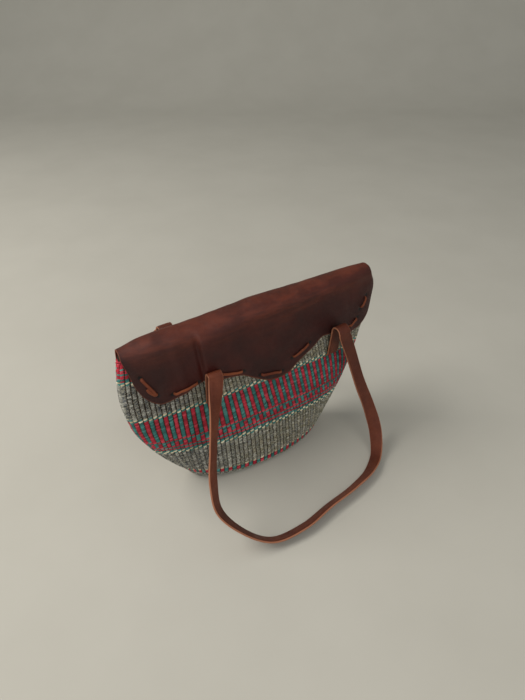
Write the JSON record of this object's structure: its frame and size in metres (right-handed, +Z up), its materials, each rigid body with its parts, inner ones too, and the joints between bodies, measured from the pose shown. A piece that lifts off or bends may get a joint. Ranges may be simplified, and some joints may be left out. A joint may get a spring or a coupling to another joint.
{
  "type": "sisal bag",
  "caption": "Woven sisal basket bag with a flat pinched mouth, a scalloped leather flap laced with thong, and two flat leather shoulder straps.",
  "frame": {"origin": "on the floor under the middle of the mouth, on the basket's flat base", "axes": "+X along the mouth towards the bag's right end as seen from the front, +Y towards the back where the flap is laced on, +Z up"},
  "size_m": [0.3961, 0.3548, 0.2829],
  "materials": {
    "sisal": "twined sisal yarn, matt, in grey, red, teal and cream bands",
    "flap_leather": "dark red-brown hide with a soft sheen",
    "strap_leather": "mid brown hide, dull, with paler cut edges",
    "thong": "tan leather thong, dull"
  },
  "bodies": {
    "root": {"basket": "sisal", "flap": "flap_leather", "edge_lacing": "thong", "back_lacing": "thong", "front_strap": "strap_leather", "back_strap": "strap_leather"}
  },
  "joints": []
}
